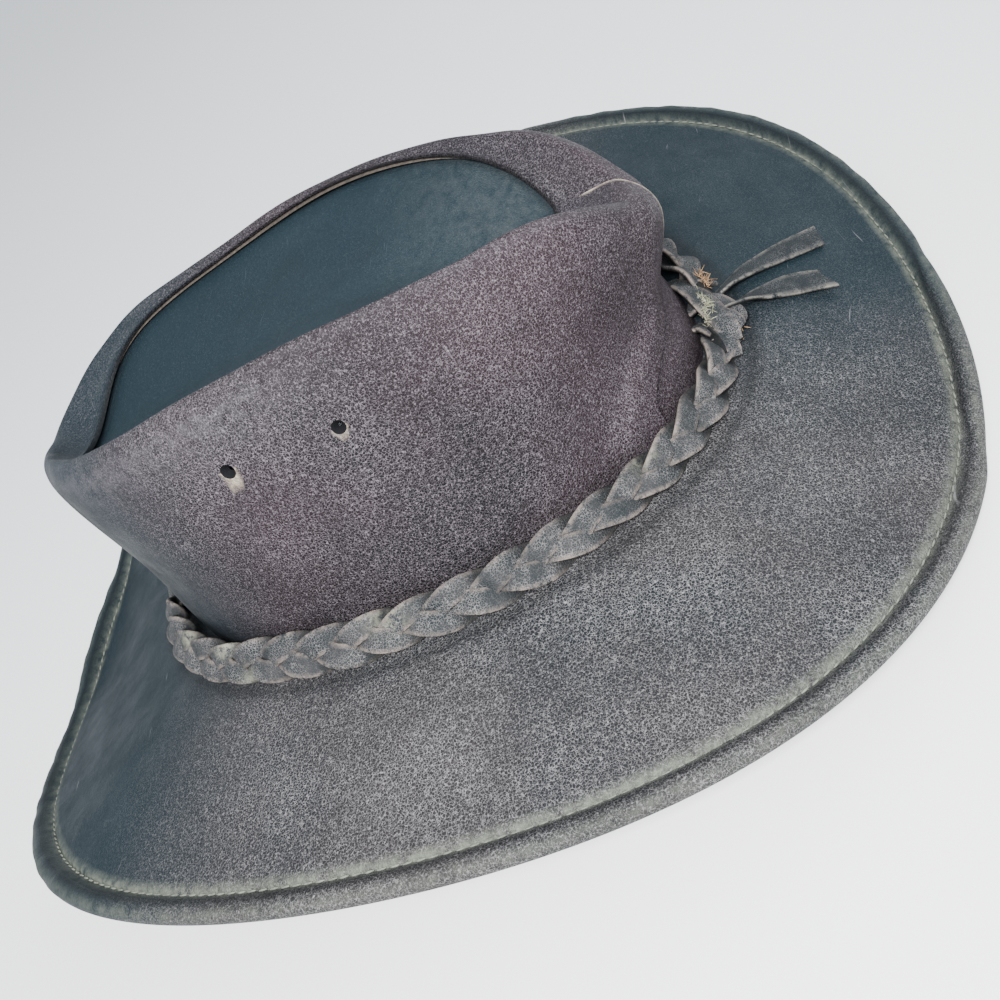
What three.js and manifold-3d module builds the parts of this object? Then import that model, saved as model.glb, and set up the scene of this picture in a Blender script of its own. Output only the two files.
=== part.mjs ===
// A worn leather bush hat, standing on the front and back dips of its brim.
// Millimetres. +X is the wearer's left, +Y the back of the head, +Z up; the floor is Z = 0.
import * as THREE from 'three';
import Module from 'manifold-3d';
import { LoftGeometry } from 'three/addons/geometries/LoftGeometry.js';
import { mergeVertices } from 'three/addons/utils/BufferGeometryUtils.js';

// Leather and seams
const LEATHER = 2.0;
const SEAM_GAP = 0.35;

// Brim
const BRIM_WIDTH = 314.4;
const BRIM_LENGTH = 357.0;
const BRIM_FULLNESS = 0.026;
const BRIM_LIFT = 42.0;
const BRIM_BEND = 1.15;
const HEM_WIDTH = 7.5;
const HEM_THICKNESS = 4.6;
const STITCH_GROOVE = 0.7;
const REST_BLEND = 1.0;
const BRIM_TUCK = 3.0;
const GROOVE_SLOPE = 1.6;
const BRIM_ROWS = [0.12, 0.32, 0.55, 0.76, 0.86];

// Crown
const HEAD_WIDTH = 164.4;
const HEAD_LENGTH = 205.0;
const FOOT_HEIGHT = 41.3;
const CROWN_HEIGHT = 116.5;
const CREST_WIDTH = 108.0;
const CREST_LENGTH = 212.0;
const ROLL_RADIUS = 5.5;
const WAIST = 5.0;
const WAIST_HEIGHT = 0.45;
const FOLD_REACH = 0.45;
const FOLD_RISE = 0.6;
const BACK_LAP_ANGLE = 3.5;
const BACK_LAP_FADE = 9.0;

// Sunken top
const TOP_WIDTH = 101.0;
const TOP_LENGTH = 172.0;
const TOP_SHIFT = -4.5;
const TOP_DISH = 3.0;
const TOP_LAP = 5.0;
const TOP_ROWS = [0.86, 0.6, 0.3];
const TOP_CURVE = 1.5;

// Vent holes: bearing in degrees, height as a share of the strip from its foot to its folded edge
const VENT_DIAMETER = 4.0;
const VENTS = [
  { bearing: 13.5, height: 0.315 },
  { bearing: -3.5, height: 0.325 },
];

// Braided band and its lashing at the centre back
const BAND_WIDTH = 13.0;
const BAND_THICKNESS = 5.0;
const BAND_OUT = 8.0;
const BAND_UP = 5.2;
const BAND_SPAN = 0.12;
const KNOT_HALF_ANGLE = 13.0;
const KNOT_BULGE = 1.3;
const LACE_WIDTH = 6.5;
const LACE_THICKNESS = 1.8;
const LACE_GAP = 0.45;

// Lace routes over the brim: bearing in degrees, share of the way from the foot to the edge
const LACE_UPPER = [
  { bearing: 101.2, across: 0.22 },
  { bearing: 104.2, across: 0.26 },
  { bearing: 105.8, across: 0.35 },
  { bearing: 106.6, across: 0.49 },
  { bearing: 107, across: 0.64 },
];
const LACE_LOWER = [
  { bearing: 93.5, across: 0.225 },
  { bearing: 96.8, across: 0.26 },
  { bearing: 98.6, across: 0.33 },
  { bearing: 99.2, across: 0.43 },
  { bearing: 98.4, across: 0.55 },
];

// Twelve stations round the hat, from the wearer's left towards the back.
// edge: brim edge height, share of BRIM_LIFT. foot: crown foot height, share of FOOT_HEIGHT.
// reach: crest distance, share of the crest oval. crest and top: heights, shares of CROWN_HEIGHT.
// waist: how far the wall stands out (or in) half way up, share of WAIST.
const STATIONS = [
  { edge: 0.88, foot: 1.0, reach: 1.02, crest: 1.0, top: 0.97, waist: 0.4 },
  { edge: 0.555, foot: 0.92, reach: 0.97, crest: 0.974, top: 0.94, waist: 0.3 },
  { edge: 0.117, foot: 0.729, reach: 0.97, crest: 0.888, top: 0.837, waist: -0.8 },
  { edge: -0.105, foot: 0.63, reach: 0.965, crest: 0.725, top: 0.712, waist: -1.6 },
  { edge: 0.33, foot: 0.729, reach: 0.96, crest: 0.797, top: 0.785, waist: -0.6 },
  { edge: 0.745, foot: 0.92, reach: 0.975, crest: 0.866, top: 0.862, waist: 0.3 },
  { edge: 0.995, foot: 1.0, reach: 1.01, crest: 0.873, top: 0.865, waist: 0.4 },
  { edge: 0.98, foot: 0.877, reach: 1.0, crest: 0.858, top: 0.833, waist: 0.2 },
  { edge: 0.46, foot: 0.651, reach: 0.96, crest: 0.833, top: 0.803, waist: -0.4 },
  { edge: -0.105, foot: 0.542, reach: 0.98, crest: 0.768, top: 0.721, waist: -1.0 },
  { edge: 0.255, foot: 0.651, reach: 0.95, crest: 0.85, top: 0.79, waist: -0.4 },
  { edge: 0.8, foot: 0.877, reach: 1.045, crest: 0.931, top: 0.884, waist: 0.2 },
];

// Mesh fineness
const BRIM_STEPS = 84;
const WALL_STEPS = 84;
const TOP_STEPS = 60;
const BAND_STEPS = 66;
const LACE_STEPS = 10;

const KNOT_STEPS = 10;

const TURN = 2 * Math.PI;
const NUDGE = 1e-3;
const radians = THREE.MathUtils.degToRad;
const UP = new THREE.Vector3(0, 0, 1);

// A smooth periodic curve through one column of the stations
function around(column, angle) {
  const count = STATIONS.length;
  let sum = 0;
  STATIONS.forEach((station, index) => {
    const gap = angle - (index * TURN) / count;
    const half = Math.sin(gap / 2);
    const weight = Math.abs(half) < 1e-9
      ? 1
      : (Math.sin((count * gap) / 2) * Math.cos(gap / 2)) / (count * half);
    sum += station[column] * weight;
  });
  return sum;
}

function oval(width, length, angle, fullness = 0, shift = 0) {
  const x = (Math.cos(angle) - fullness * Math.cos(3 * angle)) / (1 - fullness);
  const y = (Math.sin(angle) + fullness * Math.sin(3 * angle)) / (1 - fullness);
  return new THREE.Vector3((x * width) / 2, (y * length) / 2 + shift, 0);
}

function smoothstep(value) {
  const share = THREE.MathUtils.clamp(value, 0, 1);
  return share * share * (3 - 2 * share);
}

// Leather that would reach below the floor lies flat on it
function settle(height) {
  if (height <= -REST_BLEND) return 0;
  if (height >= REST_BLEND) return height;
  return (height + REST_BLEND) ** 2 / (4 * REST_BLEND);
}

// The unit normal of surface(a, b), pointing out of the leather's face
function normalOf(surface, a, b) {
  const along = surface(a + NUDGE, b).sub(surface(a - NUDGE, b));
  const across = surface(a, b + NUDGE).sub(surface(a, b - NUDGE));
  return along.cross(across).normalize();
}

// Underside of the brim: across is 0 at the crown's foot and 1 at the outermost edge
function brimUnderside(angle, across) {
  const foot = oval(HEAD_WIDTH, HEAD_LENGTH, angle);
  const edge = oval(BRIM_WIDTH, BRIM_LENGTH, angle, BRIM_FULLNESS);
  const point = foot.lerp(edge, across);
  const low = FOOT_HEIGHT * around('foot', angle) - LEATHER;
  const high = BRIM_LIFT * around('edge', angle);
  point.z = settle(low + (high - low) * Math.max(across, 0) ** BRIM_BEND);
  return point;
}

function brimWidth(angle) {
  const foot = oval(HEAD_WIDTH, HEAD_LENGTH, angle);
  return foot.distanceTo(oval(BRIM_WIDTH, BRIM_LENGTH, angle, BRIM_FULLNESS));
}

function brimPoint(angle, across, lift) {
  const normal = normalOf(brimUnderside, angle, across).negate();
  return brimUnderside(angle, across).addScaledVector(normal, lift);
}

// The leather ring of the brim with its turned hem
function makeBrim() {
  const sections = [];
  for (let step = 0; step <= BRIM_STEPS; step++) {
    const angle = (step / BRIM_STEPS) * TURN;
    const width = brimWidth(angle);
    const start = -BRIM_TUCK / width;
    const stitch = 1 - HEM_WIDTH / width;
    const slope = GROOVE_SLOPE / width;
    const round = HEM_THICKNESS / 2;
    const outline = [
      [start, LEATHER],
      ...BRIM_ROWS.map((row) => [row, LEATHER]),
      [stitch - slope, LEATHER],
      [stitch, LEATHER - STITCH_GROOVE],
      [stitch + slope, HEM_THICKNESS * 0.8],
      [stitch + 2.4 * slope, HEM_THICKNESS],
    ];
    for (let turn = 0; turn <= 4; turn++) {
      const bend = Math.PI * (0.5 - turn / 4);
      outline.push([1 - (round * (1 - Math.cos(bend))) / width, round + round * Math.sin(bend)]);
    }
    outline.push([stitch, 0], ...BRIM_ROWS.map((row) => [row, 0]).reverse(), [start, 0]);
    sections.push(outline.map(([across, lift]) => brimPoint(angle, across, lift)));
  }
  return loftRing(sections);
}

// A loft whose last section is its first
function loftRing(sections) {
  sections[sections.length - 1] = sections[0].map((point) => point.clone());
  return new LoftGeometry(sections, { closed: true });
}

function crestPoint(angle) {
  const point = oval(CREST_WIDTH, CREST_LENGTH, angle).multiplyScalar(around('reach', angle));
  return point.setZ(CROWN_HEIGHT * around('crest', angle));
}

function seamPoint(angle) {
  const point = oval(TOP_WIDTH, TOP_LENGTH, angle, 0, TOP_SHIFT);
  return point.setZ(CROWN_HEIGHT * around('top', angle));
}

// Outer face of the crown's side band: height is 0 at the foot, 1 at the folded edge round the top
function wallFace(angle, height) {
  const crest = crestPoint(angle);
  const seam = seamPoint(angle);
  const foot = oval(HEAD_WIDTH, HEAD_LENGTH, angle);
  foot.z = FOOT_HEIGHT * around('foot', angle) + SEAM_GAP;
  const ahead = crestPoint(angle + NUDGE);
  const outward = ahead.sub(crestPoint(angle - NUDGE)).cross(UP).normalize();
  const shoulder = crest.clone().addScaledVector(outward, ROLL_RADIUS).addScaledVector(UP, -ROLL_RADIUS);
  const waist = foot.clone().lerp(shoulder, WAIST_HEIGHT);
  waist.addScaledVector(outward, WAIST * around('waist', angle));
  const inside = crest.clone().lerp(seam, FOLD_REACH).addScaledVector(UP, FOLD_RISE);
  const profile = new THREE.CatmullRomCurve3([foot, waist, shoulder, crest, inside, seam]);
  return profile.getPoint(THREE.MathUtils.clamp(height, 0, 1));
}

// A point off the band's face; its foot edge is cut level
function wallPoint(angle, height, lift) {
  const held = THREE.MathUtils.clamp(height, 2 * NUDGE, 1 - 2 * NUDGE);
  const normal = normalOf(wallFace, angle, held);
  if (height === 0) normal.setZ(0).normalize();
  return wallFace(angle, height).addScaledVector(normal, lift);
}

// The band's outer end lies over its inner end at the centre back, then comes down to the round
function lapLift(turned) {
  return (LEATHER + SEAM_GAP) * (1 - smoothstep((turned - 2 * BACK_LAP_ANGLE) / BACK_LAP_FADE));
}

// The side band: one strip of leather, rolled over at the crest and lapped at the back
function makeWall(wasm) {
  const heights = [0, 0.1, 0.2, 0.29, 0.37, 0.43, 0.49, 0.54, 0.6, 0.68, 0.8, 1];
  const sweep = 360 + 2 * BACK_LAP_ANGLE;
  const sections = [];
  for (let step = 0; step <= WALL_STEPS; step++) {
    const turned = (step / WALL_STEPS) * sweep;
    const angle = radians(90 - BACK_LAP_ANGLE + turned);
    const lift = lapLift(turned);
    const outer = heights.map((height) => wallPoint(angle, height, lift));
    const inner = heights.map((height) => wallPoint(angle, height, lift - LEATHER));
    sections.push([...inner, ...outer.reverse()]);
  }
  const band = new LoftGeometry(sections, { closed: true, capStart: true, capEnd: true });
  return punchVents(wasm, band);
}

function toSolid(wasm, geometry) {
  const plain = new THREE.BufferGeometry();
  plain.setAttribute('position', geometry.attributes.position);
  plain.setIndex(geometry.index);
  const merged = mergeVertices(plain, 1e-4);
  const vertProperties = new Float32Array(merged.attributes.position.array);
  const triVerts = new Uint32Array(merged.index.array);
  return new wasm.Manifold(new wasm.Mesh({ numProp: 3, vertProperties, triVerts }));
}

function toGeometry(solid) {
  const mesh = solid.getMesh();
  const geometry = new THREE.BufferGeometry();
  geometry.setAttribute('position', new THREE.BufferAttribute(mesh.vertProperties, 3));
  geometry.setIndex(new THREE.BufferAttribute(mesh.triVerts, 1));
  geometry.computeVertexNormals();
  return geometry;
}

// Two punched holes through each side of the crown
function punchVents(wasm, band) {
  let solid = toSolid(wasm, band);
  for (const vent of VENTS) {
    for (const bearing of [vent.bearing, 180 - vent.bearing]) {
      const angle = radians(bearing);
      const normal = normalOf(wallFace, angle, vent.height);
      const punch = new THREE.CylinderGeometry(VENT_DIAMETER / 2, VENT_DIAMETER / 2, 6 * LEATHER, 10);
      punch.applyQuaternion(new THREE.Quaternion().setFromUnitVectors(new THREE.Vector3(0, 1, 0), normal));
      punch.translate(...wallFace(angle, vent.height).toArray());
      solid = solid.subtract(toSolid(wasm, punch));
    }
  }
  return toGeometry(solid);
}

// The sunken oval panel, lapped under the folded edge of the side band
function makeTop() {
  const under = -(LEATHER + SEAM_GAP);
  const centre = new THREE.Vector3(0, TOP_SHIFT, 0);
  const rings = { upper: [], lower: [] };
  const edgeRing = (lift) => ringOf((angle) => wallPoint(angle, 1, lift));
  const lapRing = (lift) => ringOf((angle) => wallPoint(angle, lapHeight(angle), lift));
  const dishPoint = (angle, share, lift) => {
    const rim = wallPoint(angle, 1, under);
    const point = centre.clone().setZ(rim.z).lerp(rim, share);
    const level = topLevel();
    point.z = level + (rim.z - level) * share ** TOP_CURVE - TOP_DISH * (1 - share * share) + lift;
    return point;
  };
  rings.upper.push(lapRing(under), edgeRing(under));
  rings.lower.push(lapRing(under - LEATHER), edgeRing(under - LEATHER));
  TOP_ROWS.forEach((share) => {
    rings.upper.push(ringOf((angle) => dishPoint(angle, share, 0)));
    rings.lower.push(ringOf((angle) => dishPoint(angle, share, -LEATHER)));
  });
  return skinOverRings(dishPoint(0, 0, -LEATHER), [...rings.lower.reverse(), ...rings.upper], dishPoint(0, 0, 0));
}

// Where the panel's lap starts on the strip, so that TOP_LAP of leather is covered
function lapHeight(angle) {
  const sample = 0.1;
  const strip = wallFace(angle, 1).distanceTo(wallFace(angle, 1 - sample)) / sample;
  return 1 - TOP_LAP / strip;
}

// A closed skin from a lower pole, over rings of points, to an upper pole
function skinOverRings(lowerPole, rings, upperPole) {
  const points = [lowerPole, ...rings.flat(), upperPole];
  const size = rings[0].length;
  const at = (ring, step) => 1 + ring * size + (step % size);
  const faces = [];
  for (let step = 0; step < size; step++) {
    faces.push(0, at(0, step + 1), at(0, step));
    for (let ring = 0; ring < rings.length - 1; ring++) {
      faces.push(at(ring, step), at(ring, step + 1), at(ring + 1, step));
      faces.push(at(ring, step + 1), at(ring + 1, step + 1), at(ring + 1, step));
    }
    faces.push(points.length - 1, at(rings.length - 1, step), at(rings.length - 1, step + 1));
  }
  const geometry = new THREE.BufferGeometry().setFromPoints(points);
  geometry.setIndex(faces);
  geometry.computeVertexNormals();
  return geometry;
}

function ringOf(pointAt) {
  return Array.from({ length: TOP_STEPS }, (_, step) => pointAt((step / TOP_STEPS) * TURN));
}

// Mean height of the folded edge round the top
function topLevel() {
  const total = STATIONS.reduce((sum, station) => sum + station.top, 0);
  return (CROWN_HEIGHT * total) / STATIONS.length - LEATHER - SEAM_GAP;
}

// Middle of the braided band: it sits in the corner between the brim and the wall
function bandFrame(angle) {
  const corner = brimPoint(angle, 0, LEATHER);
  const outward = brimPoint(angle, BAND_SPAN, LEATHER).sub(corner).normalize();
  const upward = wallFace(angle, BAND_SPAN).sub(wallFace(angle, 0)).normalize();
  const across = upward.clone().sub(outward).normalize();
  const along = new THREE.Vector3().crossVectors(UP, outward).normalize();
  const face = new THREE.Vector3().crossVectors(along, across).normalize();
  const turned = THREE.MathUtils.euclideanModulo(THREE.MathUtils.radToDeg(angle) - 90 + BACK_LAP_ANGLE, 360);
  const lift = Math.max(lapLift(turned), lapLift(360 - turned + 2 * BACK_LAP_ANGLE));
  const middle = corner.addScaledVector(outward, BAND_OUT + lift).addScaledVector(upward, BAND_UP);
  return { middle, across, face };
}

function bandSection(angle, scale) {
  const { middle, across, face } = bandFrame(angle);
  const section = [];
  for (let corner = 0; corner < 8; corner++) {
    const turn = ((corner + 0.5) / 8) * TURN;
    const point = middle.clone();
    point.addScaledVector(across, (scale * BAND_WIDTH * Math.cos(turn)) / 2);
    point.addScaledVector(face, (scale * BAND_THICKNESS * Math.sin(turn)) / 2 + (scale - 1) * BAND_THICKNESS);
    section.push(point);
  }
  return section;
}

// The plait runs all the way round, from one side of its lashing to the other
function makeBand() {
  const sections = [];
  for (let step = 0; step <= BAND_STEPS; step++) {
    const bearing = 90 + KNOT_HALF_ANGLE + (step / BAND_STEPS) * (360 - 2 * KNOT_HALF_ANGLE);
    sections.push(bandSection(radians(bearing), 1));
  }
  return new LoftGeometry(sections, { closed: true, capStart: true, capEnd: true });
}

function makeKnot() {
  const clear = THREE.MathUtils.radToDeg(SEAM_GAP / (HEAD_WIDTH / 2));
  const half = KNOT_HALF_ANGLE - clear;
  const sections = [];
  for (let step = 0; step <= KNOT_STEPS; step++) {
    const share = (step / KNOT_STEPS) * 2 - 1;
    const scale = 1 + (KNOT_BULGE - 1) * (1 - share * share);
    sections.push(bandSection(radians(90 + half * share), scale));
  }
  return new LoftGeometry(sections, { closed: true, capStart: true, capEnd: true });
}

// A flat lace lying on the brim
function makeLace(route) {
  const path = new THREE.CatmullRomCurve3(
    route.map(({ bearing, across }) => new THREE.Vector3(radians(bearing), across, 0)),
  );
  const at = (share, lift) => {
    const place = path.getPoint(share);
    return brimPoint(place.x, place.y, lift);
  };
  const sections = [];
  for (let step = 0; step <= LACE_STEPS; step++) {
    const share = step / LACE_STEPS;
    const middle = at(share, LEATHER + LACE_GAP);
    const face = at(share, LEATHER + LACE_GAP + 1).sub(middle).normalize();
    const ahead = at(Math.min(share + 0.02, 1), LEATHER).sub(at(Math.max(share - 0.02, 0), LEATHER));
    const side = ahead.cross(face).normalize();
    const corners = [[-0.5, 1], [0.5, 1], [0.5, 0], [-0.5, 0]];
    sections.push(corners.map(([across, lift]) => middle.clone()
      .addScaledVector(side, across * LACE_WIDTH)
      .addScaledVector(face, lift * LACE_THICKNESS)));
  }
  return new LoftGeometry(sections, { closed: true, capStart: true, capEnd: true });
}

function addPiece(group, name, geometry, color, roughness) {
  const material = new THREE.MeshStandardMaterial({ color, roughness, metalness: 0 });
  const mesh = new THREE.Mesh(geometry, material);
  mesh.name = name;
  group.add(mesh);
}

const wasm = await Module();
wasm.setup();

const hat = new THREE.Group();
addPiece(hat, 'brim', makeBrim(), 0x4a4849, 0.75);
addPiece(hat, 'crown_wall', makeWall(wasm), 0x453f42, 0.7);
addPiece(hat, 'crown_top', makeTop(), 0x3f4a52, 0.6);
addPiece(hat, 'braided_band', makeBand(), 0x5a5453, 0.8);
addPiece(hat, 'band_knot', makeKnot(), 0x5e5348, 0.85);
addPiece(hat, 'lace_tail_upper', makeLace(LACE_UPPER), 0x504c4a, 0.8);
addPiece(hat, 'lace_tail_lower', makeLace(LACE_LOWER), 0x504c4a, 0.8);

export default hat;
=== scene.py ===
"""A worn leather bush hat: the looks of every piece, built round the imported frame. Blender 4.5, metres."""
import math
import random

import bpy
import numpy as np
from mathutils import Matrix, Vector


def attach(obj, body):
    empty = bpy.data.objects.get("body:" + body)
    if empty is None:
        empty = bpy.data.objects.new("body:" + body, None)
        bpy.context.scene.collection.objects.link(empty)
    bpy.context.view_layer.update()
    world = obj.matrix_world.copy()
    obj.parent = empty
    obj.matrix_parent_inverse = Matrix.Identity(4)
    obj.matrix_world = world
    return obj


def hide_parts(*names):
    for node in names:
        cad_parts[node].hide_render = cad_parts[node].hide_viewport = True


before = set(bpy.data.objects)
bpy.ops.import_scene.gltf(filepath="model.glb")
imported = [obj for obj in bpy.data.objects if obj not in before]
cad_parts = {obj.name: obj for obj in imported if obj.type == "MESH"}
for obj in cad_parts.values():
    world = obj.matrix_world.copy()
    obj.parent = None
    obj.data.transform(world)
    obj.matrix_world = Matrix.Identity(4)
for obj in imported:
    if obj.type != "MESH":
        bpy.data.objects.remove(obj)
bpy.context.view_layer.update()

MM = 0.001
TURN = 2 * math.pi
# A small step, for reading a surface's slope.
NUDGE = 1e-3

# Leather, in millimetres
LEATHER = 2.0
SEAM_GAP = 0.35

# Brim
BRIM_WIDTH = 314.4
BRIM_LENGTH = 357.0
BRIM_FULLNESS = 0.026
BRIM_LIFT = 42.0
BRIM_BEND = 1.15
HEM_WIDTH = 7.5
HEM_THICKNESS = 4.6
STITCH_GROOVE = 0.9
REST_BLEND = 1.0
BRIM_TUCK = 3.0
GROOVE_SLOPE = 1.6

# Crown
HEAD_WIDTH = 164.4
HEAD_LENGTH = 205.0
FOOT_HEIGHT = 41.3
CROWN_HEIGHT = 116.5
CREST_WIDTH = 108.0
CREST_LENGTH = 212.0
ROLL_RADIUS = 5.5
WAIST = 5.0
WAIST_HEIGHT = 0.45
FOLD_REACH = 0.45
FOLD_RISE = 0.6
BACK_LAP_ANGLE = 3.5
BACK_LAP_FADE = 9.0
LAP_SLANT = 26.0
LAP_SWEEP = 12.0

# Sunken top
TOP_WIDTH = 101.0
TOP_LENGTH = 172.0
TOP_SHIFT = -4.5
TOP_DISH = 3.0
TOP_CURVE = 1.5
TOP_LAP = 5.0

# Vents, braided band, lashing and laces
VENT_DIAMETER = 4.0
VENT_MOUTH = 7.75
VENT_INSIDE = 0.25
VENT_DEPTH = 5.0
VENT_SIDES = 20
# bearing: degrees. height: share of the wall. lip: how far below the hole it is rubbed. rub: how pale.
VENTS = [
    {"bearing": 13.5, "height": 0.315, "lip": 0.5, "rub": 0.45},
    {"bearing": -3.5, "height": 0.325, "lip": 1.3, "rub": 0.9},
]
BAND_OUT = 8.0
BAND_UP = 5.2
BAND_SPAN = 0.12
LACE_WIDTH = 6.5
LACE_THICKNESS = 1.8
LACE_GAP = 0.45
# Places on a lace's middle line. bearing and roll: degrees. across: share of the brim's width, from the
# crown's foot. lift: millimetres above the brim. width: share of the lace's own.
LACE_UPPER = [
    {"bearing": 97.6, "across": 0.02, "lift": 3.4, "roll": -30, "width": 0.7},
    {"bearing": 99.4, "across": 0.09, "lift": 2.6, "roll": -42, "width": 0.75},
    {"bearing": 102.6, "across": 0.175, "lift": 1.7, "roll": -34, "width": 0.8},
    {"bearing": 105.2, "across": 0.29, "lift": 0.8, "roll": -12, "width": 1.15},
    {"bearing": 106.6, "across": 0.46, "lift": 0.3, "roll": 0, "width": 1.3},
    {"bearing": 107.0, "across": 0.64, "lift": 0.7, "roll": 4, "width": 1.42},
]
LACE_LOWER = [
    {"bearing": 93.5, "across": 0.04, "lift": 4.2, "roll": -20, "width": 0.7},
    {"bearing": 94.6, "across": 0.11, "lift": 4.4, "roll": -46, "width": 0.8},
    {"bearing": 96.5, "across": 0.19, "lift": 3.0, "roll": -40, "width": 0.9},
    {"bearing": 98.2, "across": 0.28, "lift": 1.2, "roll": -12, "width": 1.2},
    {"bearing": 99.0, "across": 0.41, "lift": 0.5, "roll": 2, "width": 1.42},
    {"bearing": 98.4, "across": 0.55, "lift": 1.2, "roll": -4, "width": 1.5},
]

# Twelve stations round the hat, from the wearer's left towards the back.
# edge: brim edge height, share of BRIM_LIFT. foot: crown foot height, share of FOOT_HEIGHT.
# reach: crest distance, share of the crest oval. crest and top: heights, shares of CROWN_HEIGHT.
# waist: how far the wall stands out (or in) half way up, share of WAIST.
STATION_COLUMNS = ("edge", "foot", "reach", "crest", "top", "waist")
STATIONS = np.array([
    (0.88, 1.0, 1.02, 1.0, 0.97, 0.4),
    (0.555, 0.92, 0.97, 0.974, 0.94, 0.3),
    (0.117, 0.729, 0.97, 0.888, 0.837, -0.8),
    (-0.105, 0.63, 0.965, 0.725, 0.712, -1.6),
    (0.33, 0.729, 0.96, 0.797, 0.785, -0.6),
    (0.745, 0.92, 0.975, 0.866, 0.862, 0.3),
    (0.995, 1.0, 1.01, 0.873, 0.865, 0.4),
    (0.98, 0.877, 1.0, 0.858, 0.833, 0.2),
    (0.46, 0.651, 0.96, 0.833, 0.803, -0.4),
    (-0.105, 0.542, 0.98, 0.768, 0.721, -1.0),
    (0.255, 0.651, 0.95, 0.85, 0.79, -0.4),
    (0.8, 0.877, 1.045, 0.931, 0.884, 0.2),
])


# Surfaces the leather is formed on, in millimetres, for whole arrays of places at once

def around(column, angle):
    """A smooth periodic curve through one column of the stations."""
    values = STATIONS[:, STATION_COLUMNS.index(column)]
    count = len(values)
    total = np.zeros_like(angle)
    for index, value in enumerate(values):
        gap = angle - index * TURN / count
        half = np.sin(gap / 2)
        close = np.abs(half) < 1e-9
        spread = np.sin(count * gap / 2) * np.cos(gap / 2) / (count * np.where(close, 1.0, half))
        total = total + value * np.where(close, 1.0, spread)
    return total


def oval(width, length, angle, fullness=0.0, shift=0.0):
    x = (np.cos(angle) - fullness * np.cos(3 * angle)) / (1 - fullness)
    y = (np.sin(angle) + fullness * np.sin(3 * angle)) / (1 - fullness)
    return np.stack([x * width / 2, y * length / 2 + shift, np.zeros_like(x)], -1)


def smoothstep(value):
    share = np.clip(value, 0, 1)
    return share * share * (3 - 2 * share)


def unit(vectors):
    return vectors / np.linalg.norm(vectors, axis=-1, keepdims=True)


def settle(height):
    """Leather that would reach below the floor lies flat on it."""
    eased = (height + REST_BLEND) ** 2 / (4 * REST_BLEND)
    return np.where(height <= -REST_BLEND, 0.0, np.where(height >= REST_BLEND, height, eased))


def normal_of(surface, a, b):
    along = surface(a + NUDGE, b) - surface(a - NUDGE, b)
    across = surface(a, b + NUDGE) - surface(a, b - NUDGE)
    return unit(np.cross(along, across))


def brim_underside(angle, across):
    foot = oval(HEAD_WIDTH, HEAD_LENGTH, angle)
    edge = oval(BRIM_WIDTH, BRIM_LENGTH, angle, BRIM_FULLNESS)
    point = foot + (edge - foot) * across[..., None]
    low = FOOT_HEIGHT * around("foot", angle) - LEATHER
    high = BRIM_LIFT * around("edge", angle)
    point[..., 2] = settle(low + (high - low) * np.maximum(across, 0) ** BRIM_BEND)
    return point


def brim_width(angle):
    foot = oval(HEAD_WIDTH, HEAD_LENGTH, angle)
    return np.linalg.norm(foot - oval(BRIM_WIDTH, BRIM_LENGTH, angle, BRIM_FULLNESS), axis=-1)


def brim_point(angle, across, lift):
    normal = -normal_of(brim_underside, angle, across)
    return brim_underside(angle, across) + normal * np.asarray(lift)[..., None]


def crest_point(angle):
    point = oval(CREST_WIDTH, CREST_LENGTH, angle) * around("reach", angle)[..., None]
    point[..., 2] = CROWN_HEIGHT * around("crest", angle)
    return point


def seam_point(angle):
    point = oval(TOP_WIDTH, TOP_LENGTH, angle, 0.0, TOP_SHIFT)
    point[..., 2] = CROWN_HEIGHT * around("top", angle)
    return point


def spline_point(knots, share):
    """A centripetal Catmull-Rom curve through the knots, read at each share from 0 to 1."""
    first = 2 * knots[0] - knots[1]
    last = 2 * knots[-1] - knots[-2]
    chain = np.stack([first, *knots, last])
    spans = len(knots) - 1
    index = np.clip((share * spans).astype(int), 0, spans - 1)
    weight = (share * spans - index)[..., None]
    rows = np.arange(share.size)
    p0, p1, p2, p3 = (chain[index + step, rows] for step in range(4))
    d0, d1, d2 = (
        np.maximum(np.sqrt(np.linalg.norm(b - a, axis=-1, keepdims=True)), 1e-4)
        for a, b in ((p0, p1), (p1, p2), (p2, p3))
    )
    t1 = ((p1 - p0) / d0 - (p2 - p0) / (d0 + d1) + (p2 - p1) / d1) * d1
    t2 = ((p2 - p1) / d1 - (p3 - p1) / (d1 + d2) + (p3 - p2) / d2) * d1
    c2 = -3 * p1 + 3 * p2 - 2 * t1 - t2
    c3 = 2 * p1 - 2 * p2 + t1 + t2
    return p1 + t1 * weight + c2 * weight ** 2 + c3 * weight ** 3


def wall_face(angle, height):
    """Outer face of the side band: height is 0 at the foot and 1 at the folded edge round the top."""
    crest = crest_point(angle)
    seam = seam_point(angle)
    foot = oval(HEAD_WIDTH, HEAD_LENGTH, angle)
    foot[..., 2] = FOOT_HEIGHT * around("foot", angle) + SEAM_GAP
    turn = crest_point(angle + NUDGE) - crest_point(angle - NUDGE)
    outward = unit(np.cross(turn, np.array([0.0, 0.0, 1.0])))
    up = np.array([0.0, 0.0, 1.0])
    shoulder = crest + outward * ROLL_RADIUS - up * ROLL_RADIUS
    waist = foot + (shoulder - foot) * WAIST_HEIGHT
    waist = waist + outward * (WAIST * around("waist", angle))[..., None]
    inside = crest + (seam - crest) * FOLD_REACH + up * FOLD_RISE
    knots = np.stack([foot, waist, shoulder, crest, inside, seam])
    return spline_point(knots, np.clip(height, 0, 1))


def wall_point(angle, height, lift):
    held = np.clip(height, 2 * NUDGE, 1 - 2 * NUDGE)
    normal = normal_of(wall_face, angle, held)
    level = np.where((height <= 0)[..., None], np.array([1.0, 1.0, 0.0]), 1.0)
    normal = unit(normal * level)
    return wall_face(angle, height) + normal * np.asarray(lift)[..., None]


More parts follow.
